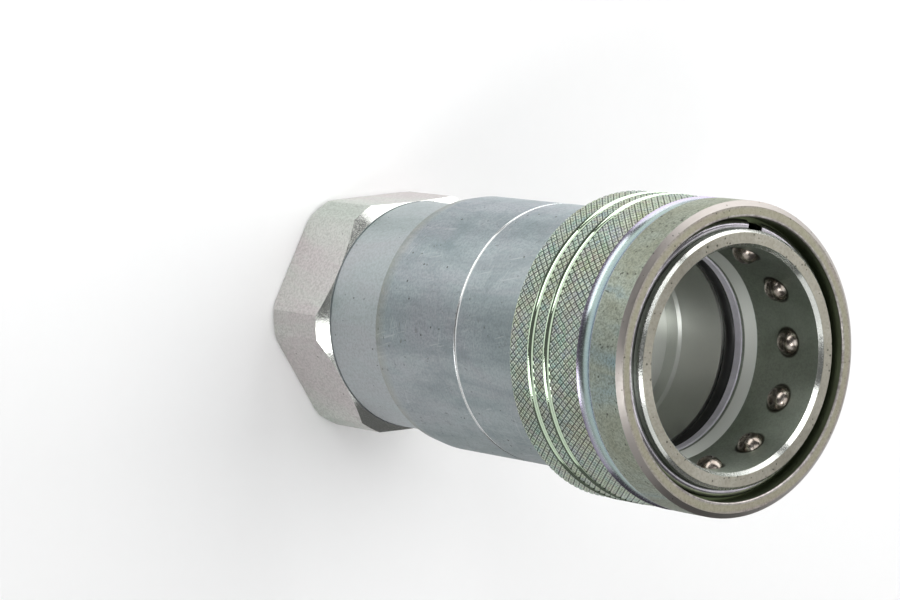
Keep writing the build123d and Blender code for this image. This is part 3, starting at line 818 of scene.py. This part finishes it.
class COUPLER_OT_finishes(Operator):
    """Gives every node of the frame its plated, steel, rubber or plastic finish."""

    bl_idname = "coupler.finishes"
    bl_label = "Finishes"

    def execute(self, context):
        c = context.scene.coupler_colours
        body = zinc_body("zinc_body", c)
        adapter = zinc_adapter("zinc_adapter", c)
        steel = plain_steel("turned_steel", *TURNED_STEEL)
        wire = plain_steel("spring_wire", *WIRE_STEEL)
        ring = plain_steel("stop_ring_steel", *RING_STEEL)
        balls = ball_steel("ball_steel", *BALL_STEEL)
        rubber = seal_rubber("seal_rubber", c.rubber)
        plastic = white_plastic("backup_plastic", c.ptfe)
        finishes = {
            "valve_body": body,
            "port_adapter": adapter,
            "locking_sleeve": body,
            "poppet": steel,
            "poppet_guide": steel,
            "stop_ring": ring,
            "spring_seat_ring": wire,
            "sleeve_spring": wire,
            "poppet_spring": wire,
            "probe_seal": rubber,
            "poppet_seal": rubber,
            "adapter_seal": rubber,
            "backup_ring": plastic,
        }
        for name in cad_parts:
            dress(name, finishes.get(name, balls))
        return {"FINISHED"}


class COUPLER_OT_sleeve(Operator):
    """Makes the locking sleeve with its diamond knurl, thumb hollow and polished rings."""

    bl_idname = "coupler.sleeve"
    bl_label = "Knurled sleeve"

    def execute(self, context):
        s = context.scene.coupler_sleeve
        length = sleeve_high.z - sleeve_low.z
        outline = []

        def run(r, d, knurl=0, shine=0):
            """Adds one or more places of the outline, with how much knurl and polish they have."""
            places = np.transpose(np.broadcast_arrays(*np.atleast_1d(r, d)))
            outline.extend((*place, knurl, shine) for place in places)

        def diamonds(start, end):
            rows = round(STEPS * (end - start) / s.knurl_rise) + 1
            run(s.radius, np.linspace(start, end, rows), knurl=1)

        edge = s.ring_width / 2 + s.mouth_edge
        thumb_end = s.thumb_start + s.thumb_width
        face_edge = s.radius - s.bevel
        run(s.mouth_radius, s.mouth_edge)
        run(s.mouth_radius + s.mouth_edge, 0)
        run([s.mouth_radius + 2 * s.mouth_edge, face_edge - s.mouth_edge], 0)
        run(face_edge, 0, shine=SOFT_SHINE)
        run(s.radius, s.bevel_length, shine=SOFT_SHINE)
        run(s.radius, [s.bevel_length + s.mouth_edge, s.thumb_start - s.mouth_edge])
        thumb = s.thumb_start + s.thumb_width / 2
        run(*hollow(thumb, s.thumb_width, s.thumb_cut, s.radius, THUMB_STEPS), shine=1)
        start = thumb_end + s.mouth_edge
        for ring in (s.ring_first, s.ring_second):
            diamonds(start, ring - edge)
            run(*hollow(ring, s.ring_width, s.ring_cut, s.radius, RING_STEPS), shine=1)
            start = ring + edge
        diamonds(start, length - s.rear_edge)
        run(s.radius - s.rear_edge, length)
        run(s.pocket_radius, [length, s.land_end])
        run(s.land_radius, [s.land_end, s.cam_back])
        run(s.step_radius, [s.cam_front, s.stop_depth])
        run(s.mouth_radius, s.stop_depth)

        radius, depth, knurl, polish = np.array(outline, float).T[..., None]
        # Each row is a place of the outline. Valleys run along both diagonals of rows and columns,
        # and the second tracks run midway between them.
        row = np.arange(len(outline))[:, None]
        column = np.arange(STEPS * s.teeth)
        one_way, other_way = (row + column) % STEPS, (row - column) % STEPS
        near = np.minimum(
            np.minimum(one_way, STEPS - one_way), np.minimum(other_way, STEPS - other_way)
        )
        valley = knurl * (near == 0)
        middle = STEPS // 2
        track = np.maximum(other_way == middle, s.cross_track * (one_way == middle))
        track = knurl * track * (near > 0)
        fall = np.maximum(np.array([1.0, s.knurl_flank, 0.0])[near], s.second_track * track)
        grid = around_axis(
            radius - s.knurl_cut * fall * knurl, column * TURN / len(column), top - depth
        )
        sleeve = mesh_from_grid("knurled_sleeve", grid, close_rows=True)
        shade(sleeve, sharp_angle=22)
        note_on_points(sleeve, "valley", valley)
        note_on_points(sleeve, "track", track)
        note_on_points(sleeve, "polish", np.broadcast_to(polish, near.shape))
        c = context.scene.coupler_colours
        sleeve.data.materials.append(zinc_sleeve("zinc_sleeve", c, s))
        sleeve.data.materials.append(zinc_mouth("zinc_mouth", c, s))
        middles = np.empty(3 * len(sleeve.data.polygons), np.float32)
        sleeve.data.polygons.foreach_get("center", middles)
        x, y, z = middles.reshape(-1, 3).T
        in_mouth = np.hypot(x, y) < s.pocket_radius - CLOSE / 2
        at_mouth = (top - z < s.bevel_length) | in_mouth
        sleeve.data.polygons.foreach_set("material_index", at_mouth.astype(np.int32))
        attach(sleeve, "sleeve")
        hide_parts("locking_sleeve")
        return {"FINISHED"}


class COUPLER_OT_thread(Operator):
    """Cuts the pipe thread into a copy of the adapter, in place of its plain bore.

    With t = z / pitch - angle / turn, the wall's radius is minor + height (1 - cos(turn t)) / 2,
    which is close to the rounded 55 degree form. It fades to the bore at both ends, whose edges it
    shares.
    """

    bl_idname = "coupler.thread"
    bl_label = "Port thread"

    def execute(self, context):
        s = context.scene.coupler_thread
        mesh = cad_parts["port_adapter"].data
        mesh.calc_loop_triangles()
        points = np.empty(3 * len(mesh.vertices), np.float32)
        mesh.vertices.foreach_get("co", points)
        points = points.reshape(-1, 3).astype(float)
        triangles = np.empty(3 * len(mesh.loop_triangles), np.int32)
        mesh.loop_triangles.foreach_get("vertices", triangles)

        # Points of the frame's mesh that lie at the same place become one.
        places = np.round(points * 1e7).astype(np.int64)
        _, first, merged = np.unique(places, axis=0, return_index=True, return_inverse=True)
        points = points[first]
        triangles = merged.reshape(-1)[triangles.reshape(-1, 3)]
        x, y, z = points.T
        in_reach = (z > s.start - CLOSE) & (z < s.end + CLOSE)
        on_wall = (np.abs(np.hypot(x, y) - s.minor_radius) < CLOSE) & in_reach
        upright = np.ptp(z[triangles], axis=1) > 5 * CLOSE
        kept = triangles[~(on_wall[triangles].all(axis=1) & upright)]
        # The wall's long triangles are left out, and the thread's mesh goes between its two edges.
        angle = np.arctan2(y, x) % TURN
        edges = []
        for height in (s.start, s.end):
            edge = np.nonzero(on_wall & (np.abs(z - height) < CLOSE))[0]
            edges.append(edge[np.argsort(angle[edge])])
        low_edge, high_edge = edges
        cut_out = len(triangles) - len(kept)
        if cut_out != 2 * len(low_edge) or len(low_edge) != len(high_edge):
            raise RuntimeError("the adapter's bore isn't one plain wall between two equal edges")

        rows = round(s.rows * (s.end - s.start) / s.pitch)
        up = np.linspace(s.start, s.end, rows + 1)[1:-1, None]
        around = angle[low_edge]
        fade = smooth(np.clip(np.minimum(up - s.start, s.end - up) / s.run_out, 0, 1))
        wave = (1 - np.cos(TURN * up / s.pitch - around)) / 2
        wall = around_axis(s.minor_radius + s.height * fade * wave, around, up)
        inner = len(points) + np.arange(wall[..., 0].size).reshape(wall.shape[:2])
        index = np.vstack([low_edge[None], inner, high_edge[None]])
        index = np.hstack([index, index[:, :1]])
        points = np.concatenate([points, wall.reshape(-1, 3)])
        triangles = np.concatenate([kept, woven(index)])
        threaded = mesh_from_triangles("threaded_adapter", points, triangles)
        shade(threaded, sharp_angle=24)
        threaded.data.materials.append(mesh.materials[0])
        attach(threaded, "body")
        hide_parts("port_adapter")
        return {"FINISHED"}


class COUPLER_OT_springs(Operator):
    """Winds the sleeve spring and the poppet spring."""

    bl_idname = "coupler.springs"
    bl_label = "Springs"

    def execute(self, context):
        s = context.scene.coupler_springs
        plan = (
            ("sleeve_spring", "sleeve_slide", s.sleeve_turns, s.sleeve_mean, s.sleeve_wire),
            ("poppet_spring", "poppet_slide", s.poppet_turns, s.poppet_mean, s.poppet_wire),
        )
        for node, joint, turns, mean, wire in plan:
            low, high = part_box(node)
            spring = mesh_from_grid(node + "_coil", coil(low.z, high.z, turns, mean, wire))
            shade(spring, sharp_angle=40)
            spring.data.materials.append(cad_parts[node].data.materials[0])
            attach(spring, "body")
            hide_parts(node)
            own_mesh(spring)
        return {"FINISHED"}


def softbox(name, azimuth, height, distance, width, length, brightness):
    """A flat lamp at an azimuth and height, in degrees, that faces the part's middle.

    brightness is how bright its face looks, where 1 is white, so its power is that times pi times
    its area.
    """
    a, e = math.radians(azimuth), math.radians(height)
    away = Vector((math.cos(a) * math.cos(e), math.sin(a) * math.cos(e), math.sin(e)))
    data = bpy.data.lights.new(name, "AREA")
    data.shape = "RECTANGLE"
    data.size, data.size_y = width, length
    data.energy = brightness * math.pi * width * length
    lamp = bpy.data.objects.new(name, data)
    lamp.location = Vector((0, 0, top / 2)) + away * distance
    lamp.rotation_euler = away.to_track_quat("Z", "Y").to_euler()
    bpy.context.scene.collection.objects.link(lamp)


class COUPLER_OT_stage(Operator):
    """Sets up the floor, the world, the lamps and the camera."""

    bl_idname = "coupler.stage"
    bl_label = "Floor, light and camera"

    def execute(self, context):
        s = context.scene.coupler_stage
        world = bpy.data.worlds.new("soft_room")
        world.use_nodes = True
        room = world.node_tree.nodes["Background"]
        room.inputs["Color"].default_value = (1, 1, 1, 1)
        room.inputs["Strength"].default_value = s.ambient
        context.scene.world = world

        f = Finish("pale_floor")
        tone = f.mix(f.noise(f.place, 300.0), FLOOR_DARK, FLOOR_LIGHT)
        across = np.linspace(-FLOOR_REACH, FLOOR_REACH, 5)
        x, y = np.meshgrid(across, across)
        grid = np.stack([x, y, np.full_like(x, -FLOOR_DROP)], -1)
        floor = mesh_from_grid("floor", grid, close_columns=False)
        floor.data.materials.append(f.surface(tone, 0.9))

        for lamp in LAMPS:
            softbox(*lamp)

        camera = bpy.data.cameras.new("camera")
        camera.sensor_width = 36
        camera.sensor_fit = "HORIZONTAL"
        camera.lens = s.lens
        camera.clip_start = 0.01
        eye = bpy.data.objects.new("camera", camera)
        look = Vector(s.camera_look).normalized()
        side = look.cross(Vector(s.camera_up)).normalized()
        upward = side.cross(look)
        turn = Matrix((side, upward, -look)).transposed().to_4x4()
        eye.matrix_world = Matrix.Translation(s.camera_place) @ turn
        context.scene.collection.objects.link(eye)
        context.scene.camera = eye
        context.scene.view_settings.view_transform = "Standard"
        return {"FINISHED"}


class COUPLER_PT_panel(Panel):
    """Lists the pieces and the stage."""

    bl_label = "Coupler"
    bl_idname = "COUPLER_PT_panel"
    bl_space_type = "VIEW_3D"
    bl_region_type = "UI"
    bl_category = "Coupler"

    def draw(self, context):
        for operator in OPERATORS:
            self.layout.operator(operator.bl_idname)
        for name in GROUPS:
            group = getattr(context.scene, name)
            box = self.layout.box()
            for key in group.bl_rna.properties.keys():
                if key not in ("rna_type", "name"):
                    box.prop(group, key)


OPERATORS = (
    COUPLER_OT_finishes,
    COUPLER_OT_sleeve,
    COUPLER_OT_thread,
    COUPLER_OT_springs,
    COUPLER_OT_stage,
)
GROUPS = {
    "coupler_sleeve": SleeveSizes,
    "coupler_thread": ThreadSizes,
    "coupler_springs": SpringSizes,
    "coupler_colours": FinishColours,
    "coupler_stage": StageSizes,
}


def register():
    for kind in (*GROUPS.values(), *OPERATORS, COUPLER_PT_panel):
        bpy.utils.register_class(kind)
    for name, kind in GROUPS.items():
        setattr(bpy.types.Scene, name, PointerProperty(type=kind))


def unregister():
    for name in GROUPS:
        delattr(bpy.types.Scene, name)
    for kind in (COUPLER_PT_panel, *reversed(OPERATORS), *GROUPS.values()):
        bpy.utils.unregister_class(kind)


def main():
    register()
    bpy.ops.coupler.finishes()
    bpy.ops.coupler.sleeve()
    bpy.ops.coupler.thread()
    bpy.ops.coupler.springs()
    bpy.ops.coupler.stage()


if __name__ == "__main__":
    main()
